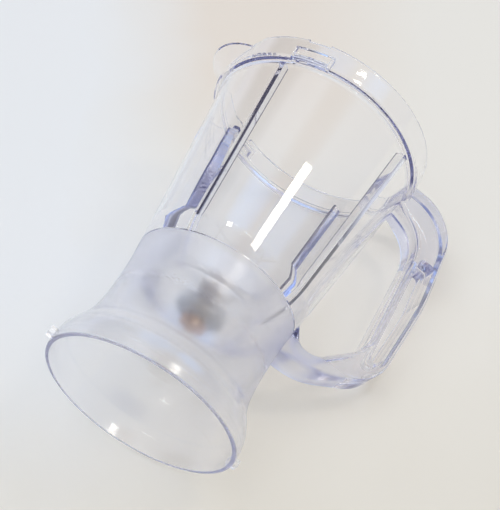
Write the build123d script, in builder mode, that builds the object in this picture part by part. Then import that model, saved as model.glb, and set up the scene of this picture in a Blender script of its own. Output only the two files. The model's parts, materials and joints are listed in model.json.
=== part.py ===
from build123d import *

import os
from math import atan2, cos, degrees, radians, sin, sqrt

# Clear moulded blender jar with a frosted skirt, a loop handle and a blade unit, in millimetres.
# +Z is up, the origin is on the jar's axis in the plane of the base rim, the handle lies along +X.

# Skirt and body, outside
base_radius = 60.0
rim_band = 6.0
flare_radius = 53.6
flare_z = 24.0
waist_radius = 49.3
waist_z = 54.0
frost_radius = 51.3
frost_z = 85.0
frost_groove_depth = 0.7
frost_groove_height = 0.6
collar_radius = 70.6
collar_step = 4.2
collar_height = 16.4
collar_flare = 3.1
collar_rounds = (3.0, 1.2, 0.8)
edge_round = 0.8
jar_height = 228.0

# Walls and inside of the bowl
wall = 2.4
collar_wall = 2.2
ledge_drop = 15.0
shoulder_z = 99.0
shoulder_round = 20.0
floor_radius = 39.2
floor_z = 72.0
floor_round = 5.0
floor_wall = 2.6
root_drop = 0.6
boss_radius = 16.0
boss_depth = 0.9

# Ribs on the inner wall
rib_count = 4
rib_first_angle = 45.0
rib_root_width = 4.4
rib_tip_width = 1.6
rib_top_depth = 6.8
rib_foot_depth = 4.4
rib_top_gap = 1.2

# Spout in the collar
spout_reach = 81.5
spout_radius = 30.0
spout_foot_radius = 17.5
spout_dip = 5.8
spout_lip = 1.3

# Lid keys on the ledge, with a recess behind each that the handle leaves free
key_angles = (0.0, 120.0, -120.0)
recess_arc = 18.0
key_depth = 3.8
key_height = 8.4
key_wall = 1.8
notch_arc = 11.5
notch_depth = 1.8

# Loop handle: corners of its outer line, then of the finger gap, then the panel sunk in each face
handle_width = 24.0
handle_edge_round = 3.0
handle_top_drop = 3.0
handle_corner_x = 105.0
handle_corner_drop = 4.0
handle_reach = 112.0
handle_reach_z = 155.0
handle_heel_x = 108.5
handle_heel_z = 95.0
handle_foot_x = 70.0
handle_foot_z = 73.0
handle_rounds = (32.0, 150.0, 28.0, 45.0)
gap_top_drop = 20.6
gap_corner_x = 90.3
gap_corner_drop = 34.5
gap_heel_x = 92.6
gap_heel_z = 108.0
gap_foot_x = 69.0
gap_foot_z = 84.0
gap_root_x = 57.0
gap_root_z = 104.0
gap_rounds = (7.0, 14.0, 24.0, 26.0)
panel_top_z = 183.0
panel_foot_z = 103.0
panel_inner_band = 4.2
panel_outer_band = 4.7
panel_round = 3.0
panel_web = 3.0

# Bayonet lugs at the foot of the skirt
lug_width = 7.0
lug_height = 4.0
lug_reach = 3.4
lug_z = 3.6

# Blade unit
shaft_radius = 3.0
shaft_flat = 2.3
thread_radius = 2.4
running_clearance = 0.04
fit_clearance = 0.02
axial_play = 0.3
bush_radius = 5.0
upper_bush_length = 7.0
lower_bush_length = 6.0
stem_radius = 6.9
stem_tail = 0.6
flange_radius = 11.0
flange_thickness = 2.6
neck_radius = 8.0
neck_height = 3.6
seal_radius = 6.2
seal_depth = 2.4
seal_lip = 0.9
gasket_thickness = 1.4
gasket_inset = 0.6
lock_nut_width = 27.0
lock_nut_height = 4.0
nut_chamfer = 1.6
washer_radius = 6.0
washer_thickness = 0.8
ring_radius = 4.8
ring_thickness = 0.8
ring_groove = 0.5
ring_gap = 3.0
blade_thickness = 1.5
blade_width = 11.0
blade_hub_radius = 8.0
lower_blade_reach = 29.0
lower_blade_dip = 5.0
lower_blade_angle = 70.0
upper_blade_reach = 26.0
upper_blade_rise = 11.0
upper_blade_angle = -20.0
blade_bevel = 3.0
spacer_radius = 6.0
spacer_height = 2.4
blade_nut_width = 9.0
blade_nut_height = 7.0
thread_length = 5.0
coupling_height = 7.2
coupling_reach = 8.0
coupling_width = 4.4
coupling_hub_radius = 5.4
coupling_floor = 1.2
coupling_chamfer = 0.6

# Levels worked out from the sizes above
collar_z = jar_height - collar_height
collar_foot_z = collar_z - collar_flare
body_top_radius = collar_radius - collar_step
ledge_z = jar_height - ledge_drop
floor_under_z = floor_z - floor_wall
boss_z = floor_under_z - boss_depth
flange_z = floor_z + gasket_thickness
neck_z = flange_z + flange_thickness
neck_top_z = neck_z + neck_height
seal_z = neck_top_z - seal_depth
stem_z = boss_z - lock_nut_height - stem_tail
upper_washer_z = neck_top_z + axial_play
lower_blade_z = upper_washer_z + washer_thickness
spacer_z = lower_blade_z + blade_thickness
upper_blade_z = spacer_z + spacer_height
blade_nut_z = upper_blade_z + blade_thickness
shaft_top_z = blade_nut_z + thread_length
lower_washer_z = stem_z - axial_play - washer_thickness
ring_z = lower_washer_z - ring_thickness
coupling_top_z = ring_z
coupling_z = coupling_top_z - coupling_height
shaft_foot_z = coupling_z + coupling_floor
body_slope = (body_top_radius - frost_radius) / (collar_foot_z - frost_z)
shoulder_radius = frost_radius + body_slope * (shoulder_z - frost_z) - wall
inner_top_radius = body_top_radius + body_slope * (ledge_z - collar_foot_z) - wall
collar_inner_radius = collar_radius - collar_wall
groove_radius = frost_radius - frost_groove_depth
groove_top_z = frost_z + frost_groove_height
groove_top_radius = frost_radius + body_slope * frost_groove_height
handle_root_x = frost_radius - 2 * wall
spout_centre = spout_reach - spout_radius
spout_slope = (spout_radius - spout_foot_radius) / (jar_height - spout_dip - collar_z)
spout_mouth_foot = spout_foot_radius + spout_slope * (ledge_z - collar_z) - collar_wall
spout_mouth_slope = (spout_radius - spout_lip - spout_mouth_foot) / (jar_height - spout_dip - ledge_z)
key_arc = recess_arc + 2 * degrees(key_wall / collar_inner_radius)
bowl_lean = atan2(shoulder_z - floor_z, shoulder_radius - floor_radius)
bowl_shift = wall / sin(bowl_lean)


def radial_plane(angle):
    """The upright plane through the axis at this angle, with its x outward and its y up."""
    turn = radians(angle)
    return Plane(origin=(0, 0, 0), x_dir=(cos(turn), sin(turn), 0), z_dir=(sin(turn), -cos(turn), 0))


def save(builder, name):
    """Label a finished piece and write its STEP file."""
    builder.part.label = name
    export_step(builder.part, f"parts/{name}.step")


def ring(inner, outer, low, high):
    """A plain ring about the axis, as a part builder."""
    with BuildPart() as plain_ring:
        with BuildSketch(Plane.XY.offset(low)):
            Circle(outer)
            Circle(inner, mode=Mode.SUBTRACT)
        extrude(amount=high - low)
    return plain_ring


def keyed_hole(level):
    """The outline at this level of a hole with two flats, which takes the shaft."""
    with BuildSketch(Plane.XY.offset(level)) as hole:
        Circle(shaft_radius + fit_clearance)
        Rectangle(4 * shaft_radius, 2 * (shaft_flat + fit_clearance), mode=Mode.INTERSECT)
    return hole.sketch


def rib(angle):
    """An inner rib that tapers from its root in the wall to its tip, as a part builder."""
    levels = (
        (inner_top_radius, ledge_z - rib_top_gap, rib_top_depth),
        (shoulder_radius, shoulder_z, rib_foot_depth),
        (floor_radius, floor_z - floor_wall / 2, rib_foot_depth),
    )
    outward = radial_plane(angle).x_dir
    with BuildPart() as bar:
        for reach, level, depth in levels:
            with BuildSketch(Plane(origin=(0, 0, level), x_dir=outward, z_dir=(0, 0, 1))):
                with BuildLine():
                    Polyline(
                        (reach + wall / 2, -rib_root_width / 2),
                        (reach + wall / 2, rib_root_width / 2),
                        (reach - depth, rib_tip_width / 2),
                        (reach - depth, -rib_tip_width / 2),
                        close=True,
                    )
                make_face()
        loft(ruled=True)
    return bar


os.makedirs("parts", exist_ok=True)

# Handle: a loop with rounded edges, with a panel sunk in each face of the grip
with BuildPart() as handle:
    with BuildSketch(Plane.XZ):
        with BuildLine():
            loop = FilletPolyline(
                (inner_top_radius, jar_height - handle_top_drop),
                (handle_corner_x, jar_height - handle_corner_drop),
                (handle_reach, handle_reach_z),
                (handle_heel_x, handle_heel_z),
                (handle_foot_x, handle_foot_z),
                (handle_root_x, handle_foot_z),
                radius=handle_rounds,
            )
            gap = FilletPolyline(
                (handle_root_x, gap_root_z),
                (gap_root_x, gap_foot_z),
                (gap_foot_x, gap_foot_z),
                (gap_heel_x, gap_heel_z),
                (gap_corner_x, jar_height - gap_corner_drop),
                (inner_top_radius, jar_height - gap_top_drop),
                radius=gap_rounds,
            )
            Line(loop @ 1, gap @ 0)
            Line(gap @ 1, loop @ 0)
        make_face()
    extrude(amount=handle_width / 2, both=True)
    rims = handle.faces().filter_by(Axis.Y)
    fillet(rims.edges().filter_by(Axis.Z, reverse=True), handle_edge_round)
    for side in (1, -1):
        with BuildSketch(Plane.XZ.offset(side * panel_web / 2)):
            with BuildLine():
                FilletPolyline(
                    (gap_corner_x + panel_inner_band, panel_top_z),
                    (handle_corner_x, panel_top_z),
                    (handle_reach - panel_outer_band, handle_reach_z),
                    (handle_heel_x - panel_outer_band, panel_foot_z),
                    (gap_heel_x + panel_inner_band, panel_foot_z),
                    radius=panel_round,
                    close=True,
                )
            make_face()
        extrude(amount=side * handle_width, mode=Mode.SUBTRACT)

# Jar: one moulding
with BuildPart() as jar:
    # Outside, from the base rim to the top
    with BuildSketch(Plane.XZ):
        with BuildLine():
            FilletPolyline((0, 0), (base_radius, 0), (base_radius, rim_band), radius=edge_round)
            Spline(
                (base_radius, rim_band),
                (flare_radius, flare_z),
                (waist_radius, waist_z),
                (frost_radius, frost_z),
                tangents=[(0, 1), (body_slope, 1)],
            )
            Polyline(
                (frost_radius, frost_z),
                (groove_radius, frost_z),
                (groove_radius, groove_top_z),
                (groove_top_radius, groove_top_z),
            )
            FilletPolyline(
                (groove_top_radius, groove_top_z),
                (body_top_radius, collar_foot_z),
                (collar_radius, collar_z),
                (collar_radius, jar_height),
                (0, jar_height),
                radius=collar_rounds,
            )
            Line((0, jar_height), (0, 0))
        make_face()
    revolve(axis=Axis.Z)
    with Locations((-spout_centre, 0, collar_z)):
        Cone(
            spout_foot_radius,
            spout_radius,
            jar_height - spout_dip - collar_z,
            align=(Align.CENTER, Align.CENTER, Align.MIN),
        )
    add(handle.part)
    # Inside of the bowl and the collar
    with BuildSketch(Plane.XZ):
        with BuildLine():
            FilletPolyline(
                (0, floor_z),
                (floor_radius, floor_z),
                (shoulder_radius, shoulder_z),
                (inner_top_radius, ledge_z),
                (collar_inner_radius, ledge_z),
                (collar_inner_radius, jar_height - edge_round),
                radius=(floor_round, shoulder_round, edge_round, edge_round),
            )
            lip = JernArc((collar_inner_radius, jar_height - edge_round), (0, 1), edge_round, -90)
            Polyline(lip @ 1, (0, jar_height), (0, floor_z))
        make_face()
    revolve(axis=Axis.Z, mode=Mode.SUBTRACT)
    with Locations((-spout_centre, 0, ledge_z)):
        Cone(
            spout_mouth_foot,
            spout_radius + spout_mouth_slope * spout_dip - spout_lip,
            jar_height - ledge_z,
            align=(Align.CENTER, Align.CENTER, Align.MIN),
            mode=Mode.SUBTRACT,
        )
    # Underside, between the skirt and the bowl
    with BuildSketch(Plane.XZ):
        with BuildLine():
            skirt = Spline(
                (base_radius - wall, rim_band),
                (flare_radius - wall, flare_z),
                (waist_radius - wall, waist_z),
                (frost_radius - wall - root_drop, frost_z - wall),
                tangents=[(0, 1), (body_slope, 1)],
            )
            Polyline(
                skirt @ 1,
                (floor_radius + bowl_shift - floor_wall / 2, floor_under_z),
                (0, floor_under_z),
                (0, 0),
                (base_radius - wall, 0),
                skirt @ 0,
            )
        make_face()
    revolve(axis=Axis.Z, mode=Mode.SUBTRACT)
    # Hub boss under the floor and the bore through it
    with BuildSketch(Plane.XY.offset(boss_z)):
        Circle(boss_radius)
    extrude(amount=boss_depth + floor_wall / 2)
    with Locations((0, 0, floor_z)):
        Hole(stem_radius + fit_clearance, depth=floor_z - boss_z)
    # Inner ribs that follow the wall down to the floor
    for index in range(rib_count):
        add(rib(rib_first_angle + index * 360 / rib_count).part)
    # Lid keys on the ledge
    for angle in key_angles:
        with BuildSketch(radial_plane(angle - key_arc / 2)):
            with Locations((collar_inner_radius + collar_wall / 2, ledge_z)):
                Rectangle(key_depth + collar_wall / 2, key_height, align=(Align.MAX, Align.MIN))
        revolve(axis=Axis.Z, revolution_arc=key_arc)
    for angle in key_angles[1:]:
        with BuildSketch(radial_plane(angle - recess_arc / 2)):
            with Locations((collar_radius + collar_wall, ledge_z + key_wall / 2)):
                Rectangle(
                    collar_radius + collar_wall - collar_inner_radius + key_depth - key_wall,
                    key_height - 1.5 * key_wall,
                    align=(Align.MAX, Align.MIN),
                )
        revolve(axis=Axis.Z, revolution_arc=recess_arc, mode=Mode.SUBTRACT)
        with BuildSketch(radial_plane(angle - notch_arc / 2)):
            with Locations((collar_radius + collar_wall, jar_height)):
                Rectangle(3 * collar_wall, notch_depth, align=(Align.MAX, Align.MAX))
        revolve(axis=Axis.Z, revolution_arc=notch_arc, mode=Mode.SUBTRACT)
    # Bayonet lugs
    for side in (1, -1):
        with Locations((side * (base_radius - wall / 2), 0, lug_z)):
            Box(
                lug_reach + wall / 2,
                lug_width,
                lug_height,
                align=(Align.MIN if side > 0 else Align.MAX, Align.CENTER, Align.MIN),
            )
save(jar, "jar")

# Bearing housing: flanged sleeve through the floor
with BuildPart() as bearing_housing:
    with BuildSketch(Plane.XZ):
        with BuildLine():
            Polyline(
                (bush_radius + fit_clearance, stem_z),
                (stem_radius, stem_z),
                (stem_radius, flange_z),
                (flange_radius, flange_z),
                (flange_radius, neck_z),
                (neck_radius, neck_z + neck_height / 4),
                (neck_radius, neck_top_z),
                (seal_radius + fit_clearance, neck_top_z),
                (seal_radius + fit_clearance, seal_z),
                (bush_radius + fit_clearance, seal_z),
                close=True,
            )
        make_face()
    revolve(axis=Axis.Z)
save(bearing_housing, "bearing_housing")

housing_gasket = ring(stem_radius + gasket_inset, flange_radius - gasket_inset, floor_z, flange_z)
save(housing_gasket, "housing_gasket")

# Lock nut, a hexagon that clamps the housing from below
with BuildPart() as lock_nut:
    with BuildSketch(Plane.XY.offset(boss_z - lock_nut_height)):
        RegularPolygon(lock_nut_width / 2, 6, major_radius=False)
        Circle(stem_radius + fit_clearance, mode=Mode.SUBTRACT)
    extrude(amount=lock_nut_height)
    with BuildSketch(Plane.XZ):
        with BuildLine():
            Polyline(
                (0, boss_z - lock_nut_height),
                (lock_nut_width / 2, boss_z - lock_nut_height),
                (lock_nut_width / 2 + nut_chamfer, boss_z - lock_nut_height + nut_chamfer / 2),
                (lock_nut_width / 2 + nut_chamfer, boss_z),
                (0, boss_z),
                close=True,
            )
        make_face()
    revolve(axis=Axis.Z, mode=Mode.INTERSECT)
save(lock_nut, "lock_nut")

# Plain bearings and the lip seal above them
upper_bush = ring(shaft_radius + running_clearance, bush_radius, seal_z - upper_bush_length, seal_z)
save(upper_bush, "upper_bush")
lower_bush = ring(shaft_radius + running_clearance, bush_radius, stem_z, stem_z + lower_bush_length)
save(lower_bush, "lower_bush")

with BuildPart() as shaft_seal:
    with BuildSketch(Plane.XZ):
        with BuildLine():
            Polyline(
                (shaft_radius + running_clearance, neck_top_z),
                (shaft_radius + running_clearance, neck_top_z - seal_lip),
                (shaft_radius + seal_lip, seal_z),
                (seal_radius, seal_z),
                (seal_radius, neck_top_z - seal_lip / 2),
                (shaft_radius + 2 * seal_lip, neck_top_z - seal_lip / 2),
                close=True,
            )
        make_face()
    revolve(axis=Axis.Z)
save(shaft_seal, "shaft_seal")

# Shaft: round in the bearings, flats for the blades and the coupling, a groove for the snap ring
with BuildPart() as blade_shaft:
    with BuildSketch(Plane.XZ):
        with BuildLine():
            Polyline(
                (0, shaft_foot_z),
                (shaft_radius, shaft_foot_z),
                (shaft_radius, ring_z),
                (shaft_radius - ring_groove, ring_z),
                (shaft_radius - ring_groove, ring_z + ring_thickness),
                (shaft_radius, ring_z + ring_thickness),
                (shaft_radius, blade_nut_z),
                (thread_radius, blade_nut_z),
                (thread_radius, shaft_top_z),
                (0, shaft_top_z),
                close=True,
            )
        make_face()
    revolve(axis=Axis.Z)
    for low, high in ((shaft_foot_z, coupling_top_z), (lower_blade_z, blade_nut_z)):
        for side in (1, -1):
            with Locations((0, side * shaft_flat, low)):
                Box(
                    4 * shaft_radius,
                    shaft_radius,
                    high - low,
                    align=(Align.CENTER, Align.MIN if side > 0 else Align.MAX, Align.MIN),
                    mode=Mode.SUBTRACT,
                )
save(blade_shaft, "blade_shaft")

# Thrust washers and the open snap ring
washer_bore = shaft_radius + running_clearance
upper_thrust_washer = ring(washer_bore, washer_radius, upper_washer_z, lower_blade_z)
save(upper_thrust_washer, "upper_thrust_washer")
lower_thrust_washer = ring(
    washer_bore, washer_radius, lower_washer_z, lower_washer_z + washer_thickness
)
save(lower_thrust_washer, "lower_thrust_washer")

with BuildPart() as retaining_ring:
    with BuildSketch(Plane.XY.offset(ring_z)):
        Circle(ring_radius)
        Circle(shaft_radius - ring_groove + fit_clearance, mode=Mode.SUBTRACT)
        Rectangle(2 * ring_radius, ring_gap, align=(Align.MIN, Align.CENTER), mode=Mode.SUBTRACT)
    extrude(amount=ring_thickness)
save(retaining_ring, "retaining_ring")


def blade(reach, lift, level, angle):
    """A two-winged blade of bent sheet, as a part builder; lift bends its wings up or down."""
    turn = atan2(lift, reach - blade_hub_radius)
    lean = blade_thickness * sin(turn)
    rise = blade_thickness * cos(turn)
    bend = blade_thickness * (1 - cos(turn)) / sin(turn)
    half = blade_width / 2
    side_plane = radial_plane(angle)
    with BuildPart() as sheet:
        with BuildSketch(side_plane):
            with BuildLine():
                Polyline(
                    (-reach, level + lift),
                    (-blade_hub_radius, level),
                    (blade_hub_radius, level),
                    (reach, level + lift),
                    (reach - lean, level + lift + rise),
                    (blade_hub_radius - bend, level + blade_thickness),
                    (-blade_hub_radius + bend, level + blade_thickness),
                    (-reach + lean, level + lift + rise),
                    close=True,
                )
            make_face()
        extrude(amount=half, both=True)
        with BuildSketch(Plane(origin=(0, 0, level), x_dir=side_plane.x_dir, z_dir=(0, 0, 1))):
            with BuildLine():
                Polyline(
                    (reach, -half),
                    (reach - blade_bevel, half / 2),
                    (blade_hub_radius, half),
                    (-reach, half),
                    (-reach + blade_bevel, -half / 2),
                    (-blade_hub_radius, -half),
                    close=True,
                )
            make_face()
        extrude(amount=abs(lift) + 2 * blade_thickness, both=True, mode=Mode.INTERSECT)
        extrude(keyed_hole(level), amount=blade_thickness, mode=Mode.SUBTRACT)
    return sheet


# Blades, with a spacer between them
lower_blade = blade(lower_blade_reach, -lower_blade_dip, lower_blade_z, lower_blade_angle)
save(lower_blade, "lower_blade")
blade_spacer = ring(shaft_radius + fit_clearance, spacer_radius, spacer_z, upper_blade_z)
save(blade_spacer, "blade_spacer")
upper_blade = blade(upper_blade_reach, upper_blade_rise, upper_blade_z, upper_blade_angle)
save(upper_blade, "upper_blade")

# Domed cap nut on top of the blades
with BuildPart() as blade_nut:
    with BuildSketch(Plane.XY.offset(blade_nut_z)):
        RegularPolygon(blade_nut_width / 2, 6, major_radius=False)
    extrude(amount=blade_nut_height)
    with BuildSketch(Plane.XZ):
        with BuildLine():
            dome_radius = blade_nut_width / 2 + nut_chamfer / 2
            dome_z = blade_nut_z + blade_nut_height - blade_nut_width / 3
            Line((0, blade_nut_z), (dome_radius, blade_nut_z))
            Line((dome_radius, blade_nut_z), (dome_radius, dome_z))
            dome = ThreePointArc(
                (dome_radius, dome_z),
                (dome_radius * sqrt(0.5), dome_z + (blade_nut_z + blade_nut_height - dome_z) * sqrt(0.5)),
                (0, blade_nut_z + blade_nut_height),
            )
            Line(dome @ 1, (0, blade_nut_z))
        make_face()
    revolve(axis=Axis.Z, mode=Mode.INTERSECT)
    with BuildSketch(Plane.XY.offset(blade_nut_z)):
        Circle(thread_radius + fit_clearance)
    extrude(amount=thread_length, mode=Mode.SUBTRACT)
save(blade_nut, "blade_nut")

# Drive coupling: a round hub with two short wings, blind over the end of the shaft
with BuildPart() as drive_coupling:
    with BuildSketch(Plane.XY.offset(coupling_z)):
        Circle(coupling_hub_radius)
        SlotOverall(2 * coupling_reach, coupling_width)
    extrude(amount=coupling_height)
    chamfer(drive_coupling.faces().sort_by(Axis.Z)[0].edges(), coupling_chamfer)
    extrude(keyed_hole(shaft_foot_z), amount=coupling_height, mode=Mode.SUBTRACT)
save(drive_coupling, "drive_coupling")
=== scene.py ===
import json
from collections import namedtuple
from math import pi

import bpy
from mathutils import Matrix, Vector

# Looks of a clear blender jar that lies on a pale table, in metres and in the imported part's frame

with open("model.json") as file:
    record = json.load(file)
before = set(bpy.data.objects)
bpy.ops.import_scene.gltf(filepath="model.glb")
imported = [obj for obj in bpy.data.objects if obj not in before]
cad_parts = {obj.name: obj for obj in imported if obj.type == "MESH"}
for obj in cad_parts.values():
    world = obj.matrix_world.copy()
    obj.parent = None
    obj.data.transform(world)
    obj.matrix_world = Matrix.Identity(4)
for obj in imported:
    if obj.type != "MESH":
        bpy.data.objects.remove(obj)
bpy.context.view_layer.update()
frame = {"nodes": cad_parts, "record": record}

# Camera of the photograph
CAMERA_PLACE = Vector((-0.0785, -0.6538, -0.2718))
CAMERA_TARGET = Vector((0.00584, -0.00075, 0.11807))
CAMERA_LENS = 91.88
CAMERA_SENSOR = 36.0

# Table under the lying jar: its normal, its axes to the camera's right and away from it, and half its side
TABLE_UP = Vector((-0.4552, -0.8892, 0.0462)).normalized()
TABLE_RIGHT = TABLE_UP.cross(CAMERA_PLACE - CAMERA_TARGET).normalized()
TABLE_AWAY = TABLE_UP.cross(TABLE_RIGHT)
TABLE_HALF = 2.2

# Axis of the jar in its own frame
JAR_AXIS = Vector((0.0, 0.0, 1.0))

# Ranges of masks, cosines and noise, and the detail of fine noise
RISING = (0.0, 1.0)
FALLING = (1.0, 0.0)
COSINES = (-1.0, 1.0)
NOISE_SPAN = (0.3, 0.7)
FINE_DETAIL = 3.0

# Frosted skirt: upper edge and its softness, middle of the wall as heights and radii, and their span
FROST_TOP = 0.085
FROST_EDGE = 0.0002
SKIRT_MIDDLE = ((0.0, 0.0588), (0.006, 0.0588), (0.024, 0.0524), (0.054, 0.0481), (0.085, 0.0500))
CURVE_SPAN = 0.1

# Finish of the frosting: roughness over the height, grain, relief, share that isn't clear, and tint
FROST_HEIGHTS = (0.03, 0.075)
FROST_ROUGHNESS = (0.2, 0.34)
FROST_GRAIN_SCALE = 1800.0
FROST_GRAIN_SHARE = (0.96, 1.04)
FROST_RELIEF = (0.01, 0.0003)
FROST_LOSS = 0.02
FROST_TINT = (0.985, 0.99, 1.0)

# Clear plastic: tint, refraction, faint smudges, slow waves from moulding, and colour in its depth
PLASTIC_TINT = (0.995, 0.995, 1.0)
PLASTIC_IOR = 1.57
SMUDGE_SCALE = 60.0
SMUDGE_DETAIL = 4.0
SMUDGE_SPAN = (0.45, 0.75)
SMUDGE_ROUGHNESS = (0.012, 0.035)
FLOW_SCALE = 22.0
FLOW_RELIEF = (0.05, 0.002)
DEPTH_COLOUR = (0.38, 0.39, 0.66)
DEPTH_DENSITY = 8.0

# Inner ribs: their lowest height, the radius of their tips as a line over the height, and the painted
# shade on the tips, a dark violet that stands in for the dark lines that refraction draws along the ribs
RIB_FOOT = 0.099
RIB_TIP_START = 0.0362
RIB_TIP_SLOPE = 0.1035
RIB_TIP_PAINTED_SHADE = (0.10, 0.10, 0.17)

# Metal, rubber and dark plastic
METAL_CLOUD_SCALE = 220.0
METAL_RELIEF = (0.15, 0.0001)
MATT_CLOUD_SCALE = 120.0
MATT_DEPTH = 0.0002

# Table top: its own colour and painted light and shade over it (lighter and cooler on the left, darker and
# warmer near and far), where these end to the right of and away from the camera's target, and surface
TABLE_COLOUR = (0.90, 0.825, 0.695)
TABLE_FAR_PAINTED_SHADE = (0.88, 0.76, 0.615)
TABLE_NEAR_PAINTED_SHADE = (0.84, 0.75, 0.60)
TABLE_LEFT_PAINTED_LIGHT = (0.915, 0.875, 0.80)
LEFT_EDGE = (-0.12, -0.03)
NEAR_EDGE = (-0.16, 0.02)
NEAR_OVER_LEFT = 0.85
FAR_EDGE = (0.12, 0.22)
FAR_SIDES = (0.04, 0.13)
TABLE_DRIFT_SCALE = 9.0
TABLE_DRIFT = (-0.02, 0.02)
TABLE_GRAIN_SCALE = 900.0
TABLE_ROUGHNESS = (0.6, 0.7)
TABLE_SPECULAR = 0.15

# Lamps
LAMP_DISTANCE = 2.0
LAMP_COLOUR = (1.0, 0.95, 0.86)

# Room as the plastic shows it, from under the table at 0 to straight above it at 1, and its left side
SHOWN_ROOM = (
    (0.40, (0.70, 0.70, 0.73)),
    (0.50, (0.60, 0.60, 0.66)),
    (0.62, (0.66, 0.66, 0.71)),
    (0.78, (0.72, 0.73, 0.78)),
    (0.90, (0.88, 0.90, 0.94)),
    (1.00, (1.00, 1.00, 1.02)),
)
SHOWN_LEFT_EDGE = (-0.6, 0.1)
SHOWN_LEFT = (0.67, 0.71, 0.85)

# Room as the camera sees it directly
BACKGROUND = (0.74, 0.75, 0.79)

# Room as it lights matt surfaces, in the same form as the one that the plastic shows
LIT_ROOM = (
    (0.50, (0.52, 0.52, 0.55)),
    (0.60, (0.67, 0.67, 0.685)),
    (0.78, (0.72, 0.72, 0.72)),
)
LIT_LEFT_EDGE = (-0.25, 0.4)
LIT_LEFT = (0.57, 0.67, 0.85)

# Soft round spots of the room: direction for from_table, cosines at the edge and the core, and colour
Spot = namedtuple("Spot", "direction edge colour")
BROWN_ABOVE = Spot((0.42, 0.19, 0.89), (0.955, 0.995), (0.58, 0.42, 0.30))
BLUE_RIGHT = Spot((0.74, 0.45, 0.50), (0.962, 0.99), (0.80, 1.20, 2.00))
BLUE_BEYOND = Spot((0.25, 0.68, 0.69), (0.93, 0.98), (0.50, 0.74, 1.25))
DARK_BEYOND = Spot((-0.33, 0.78, 0.53), (0.90, 0.96), (0.05, 0.05, 0.09))
DARK_NEAR = Spot((-0.05, -0.80, 0.45), (0.84, 0.95), (0.05, 0.10, 0.40))
BRIGHT_ABOVE = Spot((-0.25, -0.05, 0.967), (0.86, 0.96), (1.63, 1.82, 2.21))

# Diffuse depth below which no matt surface was met, and the most bounces of light
NO_MATT_BOUNCE = 0.5
LIGHT_BOUNCES = 96


def aim(item, place, target, up):
    """Put a camera or a lamp at a place, facing a target."""
    back = (place - target).normalized()
    right = up.cross(back).normalized()
    turn = Matrix((right, back.cross(right), back)).transposed()
    item.matrix_world = Matrix.Translation(place) @ turn.to_4x4()


def link(item):
    """Add a new object to the scene."""
    bpy.context.scene.collection.objects.link(item)
    return item


def from_table(direction):
    """A direction given as right, away and up from the table."""
    right, away, up = direction
    return (TABLE_RIGHT * right + TABLE_AWAY * away + TABLE_UP * up).normalized()


def make_camera():
    """The photograph's camera."""
    data = bpy.data.cameras.new("camera")
    data.lens = CAMERA_LENS
    data.sensor_width = CAMERA_SENSOR
    camera = link(bpy.data.objects.new("camera", data))
    aim(camera, CAMERA_PLACE, CAMERA_TARGET, TABLE_UP)
    bpy.context.scene.camera = camera


class Nodes:
    """A short way to write a node tree."""

    # Numbers of a Mix node's two inputs and its output, for numbers and for colours
    MIX_SOCKETS = {"FLOAT": (2, 3, 0), "RGBA": (6, 7, 2)}

    def __init__(self, tree):
        self.tree = tree
        tree.nodes.clear()

    def add(self, kind, inputs=None, **settings):
        """A new node, with its inputs chosen by name or number."""
        node = self.tree.nodes.new(kind)
        for name, value in settings.items():
            setattr(node, name, value)
        for key, value in (inputs or {}).items():
            self.put(node.inputs[key], value)
        return node

    def put(self, socket, value):
        """Set an input to a value or a colour, or link it to another node's output."""
        if isinstance(value, bpy.types.NodeSocket):
            self.tree.links.new(value, socket)
        elif socket.type == "RGBA":
            socket.default_value = (*value, 1.0)
        else:
            socket.default_value = value

    def math(self, operation, first, second=0.0, third=0.0):
        """One step of arithmetic."""
        inputs = {0: first, 1: second, 2: third}
        return self.add("ShaderNodeMath", inputs, operation=operation).outputs[0]

    def dot(self, first, second):
        """The dot product of two vectors."""
        inputs = {0: first, 1: second}
        return self.add("ShaderNodeVectorMath", inputs, operation="DOT_PRODUCT").outputs["Value"]

    def ramp(self, value, stops):
        """A colour ramp through stops of (place, colour)."""
        node = self.add("ShaderNodeValToRGB", {"Fac": value})
        elements = node.color_ramp.elements
        while len(elements) < len(stops):
            elements.new(1.0)
        for element, (place, colour) in zip(elements, stops):
            element.position = place
            element.color = (*colour, 1.0)
        return node.outputs["Color"]

    def fit(self, value, span, target):
        """A value carried from one range to another, held at its ends."""
        inputs = {
            "Value": value,
            "From Min": span[0],
            "From Max": span[1],
            "To Min": target[0],
            "To Max": target[1],
        }
        return self.add("ShaderNodeMapRange", inputs).outputs["Result"]

    def mix(self, amount, first, second, kind="RGBA"):
        """A colour between two colours, or a number between two numbers."""
        start, end, result = self.MIX_SOCKETS[kind]
        inputs = {"Factor": amount, start: first, end: second}
        return self.add("ShaderNodeMix", inputs, data_type=kind).outputs[result]

    def noise(self, place, scale=1.0, detail=2.0):
        """Noise about 0.5 at this scale."""
        inputs = {"Vector": place, "Scale": scale, "Detail": detail}
        return self.add("ShaderNodeTexNoise", inputs).outputs["Fac"]

    def bump(self, height, relief, under=None):
        """A normal bumped by a relief of strength and depth, over another normal where one is given."""
        strength, depth = relief
        inputs = {"Height": height, "Strength": strength, "Distance": depth}
        if under is not None:
            inputs["Normal"] = under
        return self.add("ShaderNodeBump", inputs).outputs["Normal"]

    def place(self):
        """The point on the object, in metres."""
        return self.add("ShaderNodeTexCoord").outputs["Object"]


def new_material(name):
    """An empty material and its nodes."""
    material = bpy.data.materials.new(name)
    material.use_nodes = True
    return material, Nodes(material.node_tree)


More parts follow.
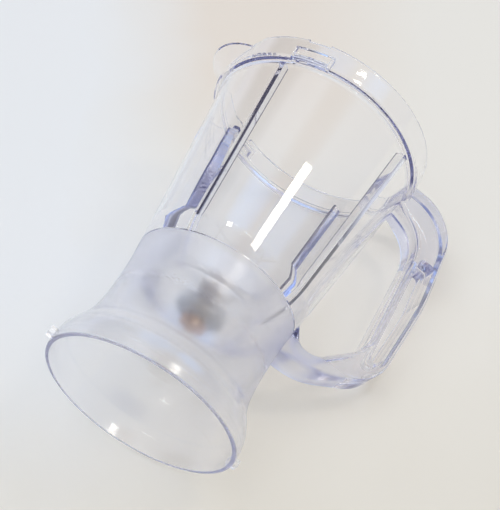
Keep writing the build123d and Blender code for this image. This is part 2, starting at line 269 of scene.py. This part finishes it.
def skirt_frost(nodes, height, radius):
    """1 on the frosted outside of the skirt, 0 elsewhere."""
    middle = nodes.add("ShaderNodeFloatCurve", {"Value": nodes.math("DIVIDE", height, CURVE_SPAN)})
    points = middle.mapping.curves[0].points
    while len(points) < len(SKIRT_MIDDLE):
        points.new(0.5, 0.5)
    for point, (level, reach) in zip(points, SKIRT_MIDDLE):
        point.location = (level / CURVE_SPAN, reach / CURVE_SPAN)
    middle.mapping.update()
    wall = nodes.math("MULTIPLY", middle.outputs[0], CURVE_SPAN)
    outside = nodes.math("GREATER_THAN", radius, wall)
    below = nodes.fit(height, (FROST_TOP, FROST_TOP + FROST_EDGE), FALLING)
    return nodes.math("MULTIPLY", outside, below)


def rib_tips(nodes, height, radius):
    """1 on the tips of the inner ribs, where painted shade darkens the plastic, 0 elsewhere."""
    reach = nodes.math("MULTIPLY_ADD", height, RIB_TIP_SLOPE, RIB_TIP_START)
    inside = nodes.math("LESS_THAN", radius, reach)
    above = nodes.math("GREATER_THAN", height, RIB_FOOT)
    return nodes.math("MULTIPLY", inside, above)


def clear_plastic():
    """Clear plastic with a faint violet tint, painted shade on the ribs' tips for the dark lines that
    refraction draws there, and frosted outside the skirt.
    """
    material, nodes = new_material("clear_plastic_look")
    place = nodes.place()
    parts = nodes.add("ShaderNodeSeparateXYZ", {"Vector": place}).outputs
    height = parts["Z"]
    squares = [nodes.math("POWER", parts[axis], 2.0) for axis in "XY"]
    radius = nodes.math("SQRT", nodes.math("ADD", *squares))
    frost = skirt_frost(nodes, height, radius)
    grain = nodes.noise(place, FROST_GRAIN_SCALE)
    smudge = nodes.noise(place, SMUDGE_SCALE, SMUDGE_DETAIL)
    smooth = nodes.fit(smudge, SMUDGE_SPAN, SMUDGE_ROUGHNESS)
    share = nodes.fit(grain, NOISE_SPAN, FROST_GRAIN_SHARE)
    rough = nodes.math("MULTIPLY", nodes.fit(height, FROST_HEIGHTS, FROST_ROUGHNESS), share)
    grained = nodes.bump(nodes.math("MULTIPLY", grain, frost), FROST_RELIEF)
    tint = nodes.mix(frost, PLASTIC_TINT, FROST_TINT)
    surface = nodes.add("ShaderNodeBsdfPrincipled", {
        # Painted shade: the ribs' tips are darkened to a deep violet that stands in for the dark lines of
        # refraction along the ribs
        "Base Color": nodes.mix(rib_tips(nodes, height, radius), tint, RIB_TIP_PAINTED_SHADE),
        "Roughness": nodes.mix(frost, smooth, rough, "FLOAT"),
        "IOR": PLASTIC_IOR,
        "Transmission Weight": nodes.math("MULTIPLY_ADD", frost, -FROST_LOSS, 1.0),
        "Normal": nodes.bump(nodes.noise(place, FLOW_SCALE), FLOW_RELIEF, grained),
    })
    depth = nodes.add("ShaderNodeVolumeAbsorption", {"Color": DEPTH_COLOUR, "Density": DEPTH_DENSITY})
    nodes.add("ShaderNodeOutputMaterial", {"Surface": surface.outputs[0], "Volume": depth.outputs[0]})
    return material


def metal(name, dark, light, roughness, streak):
    """Turned or brushed metal: fine streaks along one direction, with a colour that varies a little."""
    material, nodes = new_material(name)
    place = nodes.place()
    stretched = nodes.add("ShaderNodeVectorMath", {0: place, 1: streak}, operation="MULTIPLY")
    fine = nodes.noise(stretched.outputs["Vector"], detail=FINE_DETAIL)
    cloudy = nodes.noise(place, METAL_CLOUD_SCALE, FINE_DETAIL)
    surface = nodes.add("ShaderNodeBsdfPrincipled", {
        "Base Color": nodes.ramp(cloudy, list(zip(NOISE_SPAN, (dark, light)))),
        "Metallic": 1.0,
        "Roughness": nodes.fit(fine, NOISE_SPAN, roughness),
        "Normal": nodes.bump(fine, METAL_RELIEF),
    })
    nodes.add("ShaderNodeOutputMaterial", {"Surface": surface.outputs[0]})
    return material


def matt(name, dark, light, roughness, grain_scale, strength):
    """Rubber or moulded plastic with a fine grain."""
    material, nodes = new_material(name)
    place = nodes.place()
    grain = nodes.noise(place, grain_scale, FINE_DETAIL)
    cloudy = nodes.noise(place, MATT_CLOUD_SCALE)
    surface = nodes.add("ShaderNodeBsdfPrincipled", {
        "Base Color": nodes.ramp(cloudy, list(zip(NOISE_SPAN, (dark, light)))),
        "Roughness": nodes.fit(grain, NOISE_SPAN, roughness),
        "Normal": nodes.bump(grain, (strength, MATT_DEPTH)),
    })
    nodes.add("ShaderNodeOutputMaterial", {"Surface": surface.outputs[0]})
    return material


def dress_nodes():
    """Give every CAD node the look of its slot in the record."""
    looks = {
        "clear_plastic": clear_plastic(),
        "steel": metal(
            "steel_look",
            dark=(0.62, 0.61, 0.59),
            light=(0.80, 0.79, 0.77),
            roughness=(0.28, 0.42),
            streak=(4000.0, 400.0, 400.0),
        ),
        "bronze": metal(
            "bronze_look",
            dark=(0.46, 0.28, 0.15),
            light=(0.60, 0.40, 0.24),
            roughness=(0.25, 0.4),
            streak=(500.0, 500.0, 5000.0),
        ),
        "rubber": matt(
            "rubber_look",
            dark=(0.03, 0.03, 0.033),
            light=(0.06, 0.06, 0.065),
            roughness=(0.6, 0.8),
            grain_scale=2500.0,
            strength=0.3,
        ),
        # Painted reflection: this grey is much lighter than the near-black plastic, so that the colour
        # stands in for the lamps' reflection on its faces
        "dark_plastic": matt(
            "dark_plastic_painted_sheen_look",
            dark=(0.32, 0.295, 0.275),
            light=(0.44, 0.41, 0.385),
            roughness=(0.35, 0.5),
            grain_scale=1500.0,
            strength=0.15,
        ),
    }
    for entry in frame["record"]["subparts"]:
        node = frame["nodes"][entry["node"]]
        for slot in node.material_slots:
            slot.material = looks[entry["material_slot"]]


def table_look():
    """Pale table top with painted light, lighter and cooler on the left, and painted shade, darker and
    warmer near and far, seen only from its upper side.
    """
    material, nodes = new_material("table_look")
    place = nodes.place()
    across = nodes.math("SUBTRACT", nodes.dot(place, TABLE_RIGHT), TABLE_RIGHT.dot(CAMERA_TARGET))
    along = nodes.math("SUBTRACT", nodes.dot(place, TABLE_AWAY), TABLE_AWAY.dot(CAMERA_TARGET))
    drift = nodes.fit(nodes.noise(place, TABLE_DRIFT_SCALE), NOISE_SPAN, TABLE_DRIFT)
    near = nodes.fit(nodes.math("ADD", along, drift), NEAR_EDGE, FALLING)
    between = nodes.fit(nodes.math("ABSOLUTE", across), FAR_SIDES, FALLING)
    far = nodes.math("MULTIPLY", nodes.fit(along, FAR_EDGE, RISING), between)
    left = nodes.fit(nodes.math("ADD", across, drift), LEFT_EDGE, FALLING)
    left = nodes.math("MULTIPLY", left, nodes.math("MULTIPLY_ADD", near, -NEAR_OVER_LEFT, 1.0))
    # Painted light and shade: the far and near tones are painted shade and the left tone is painted light,
    # over the table's own pale colour
    colour = nodes.mix(far, TABLE_COLOUR, TABLE_FAR_PAINTED_SHADE)
    colour = nodes.mix(near, colour, TABLE_NEAR_PAINTED_SHADE)
    colour = nodes.mix(left, colour, TABLE_LEFT_PAINTED_LIGHT)
    surface = nodes.add("ShaderNodeBsdfPrincipled", {
        "Base Color": colour,
        "Roughness": nodes.fit(nodes.noise(place, TABLE_GRAIN_SCALE), NOISE_SPAN, TABLE_ROUGHNESS),
        "Specular IOR Level": TABLE_SPECULAR,
    })
    through = nodes.add("ShaderNodeBsdfTransparent")
    behind = nodes.add("ShaderNodeNewGeometry").outputs["Backfacing"]
    both = nodes.add("ShaderNodeMixShader", {0: behind, 1: surface.outputs[0], 2: through.outputs[0]})
    nodes.add("ShaderNodeOutputMaterial", {"Surface": both.outputs[0]})
    return material


def make_table():
    """The table, a sheet that the lying jar touches."""
    nodes = frame["nodes"].values()
    level = min(TABLE_UP.dot(vertex.co) for node in nodes for vertex in node.data.vertices)
    middle = CAMERA_TARGET + TABLE_UP * (level - TABLE_UP.dot(CAMERA_TARGET))
    right = TABLE_RIGHT * TABLE_HALF
    away = TABLE_AWAY * TABLE_HALF
    corners = [
        middle - right - away,
        middle + right - away,
        middle + right + away,
        middle - right + away,
    ]
    mesh = bpy.data.meshes.new("table")
    mesh.from_pydata(corners, [], [(0, 1, 2, 3)])
    mesh.materials.append(table_look())
    if mesh.polygons[0].normal.dot(TABLE_UP) < 0:
        mesh.flip_normals()
    link(bpy.data.objects.new("table", mesh))


def lamp(name, direction, size, radiance):
    """A rectangular lamp that faces the camera's target, with its height along the jar."""
    data = bpy.data.lights.new(name, "AREA")
    data.shape = "RECTANGLE"
    data.size, data.size_y = size
    data.energy = radiance * pi * data.size * data.size_y
    data.color = LAMP_COLOUR
    place = CAMERA_TARGET + from_table(direction) * LAMP_DISTANCE
    aim(link(bpy.data.objects.new(name, data)), place, CAMERA_TARGET, JAR_AXIS)


def make_lamps():
    """A ceiling panel on the right and four light strips."""
    lamp("panel_right", direction=(0.557, 0.026, 0.83), size=(0.31, 0.21), radiance=11.0)
    lamp("strip_top", direction=(-0.005, 0.281, 0.958), size=(0.18, 0.010), radiance=24.0)
    lamp("strip_far", direction=(0.567, 0.404, 0.718), size=(0.26, 0.005), radiance=24.0)
    lamp("strip_low", direction=(0.567, 0.392, 0.722), size=(0.26, 0.005), radiance=24.0)
    lamp("strip_near", direction=(-0.14, -0.09, 0.985), size=(0.54, 0.05), radiance=8.0)


def make_world():
    """A plain room, with one set of colours that the plastic shows and one that lights matt surfaces."""
    world = bpy.data.worlds.new("room")
    world.use_nodes = True
    world.cycles.sampling_method = "NONE"
    bpy.context.scene.world = world
    nodes = Nodes(world.node_tree)
    towards = nodes.add("ShaderNodeTexCoord").outputs["Generated"]
    up = nodes.fit(nodes.dot(towards, TABLE_UP), COSINES, RISING)
    across = nodes.dot(towards, TABLE_RIGHT)

    def add_spot(room, spot):
        """The room's colour with one more soft round spot in it."""
        inside = nodes.fit(nodes.dot(towards, from_table(spot.direction)), spot.edge, RISING)
        return nodes.mix(inside, room, spot.colour)

    shown = nodes.ramp(up, SHOWN_ROOM)
    shown = nodes.mix(nodes.fit(across, SHOWN_LEFT_EDGE, FALLING), shown, SHOWN_LEFT)
    for spot in (BROWN_ABOVE, BLUE_RIGHT, BLUE_BEYOND, DARK_BEYOND, DARK_NEAR):
        shown = add_spot(shown, spot)
    lit = nodes.ramp(up, LIT_ROOM)
    lit = nodes.mix(nodes.fit(across, LIT_LEFT_EDGE, FALLING), lit, LIT_LEFT)
    lit = add_spot(lit, BRIGHT_ABOVE)
    path = nodes.add("ShaderNodeLightPath").outputs
    shown = nodes.mix(path["Is Camera Ray"], shown, BACKGROUND)
    lights_matt = nodes.math("GREATER_THAN", path["Diffuse Depth"], NO_MATT_BOUNCE)
    colour = nodes.mix(lights_matt, shown, lit)
    light = nodes.add("ShaderNodeBackground", {"Color": colour, "Strength": 1.0})
    nodes.add("ShaderNodeOutputWorld", {"Surface": light.outputs[0]})


make_camera()
dress_nodes()
make_table()
make_lamps()
make_world()
cycles = bpy.context.scene.cycles
cycles.blur_glossy = 0.0
cycles.max_bounces = LIGHT_BOUNCES
cycles.transmission_bounces = LIGHT_BOUNCES
cycles.glossy_bounces = LIGHT_BOUNCES
bpy.context.scene.view_settings.view_transform = "Standard"
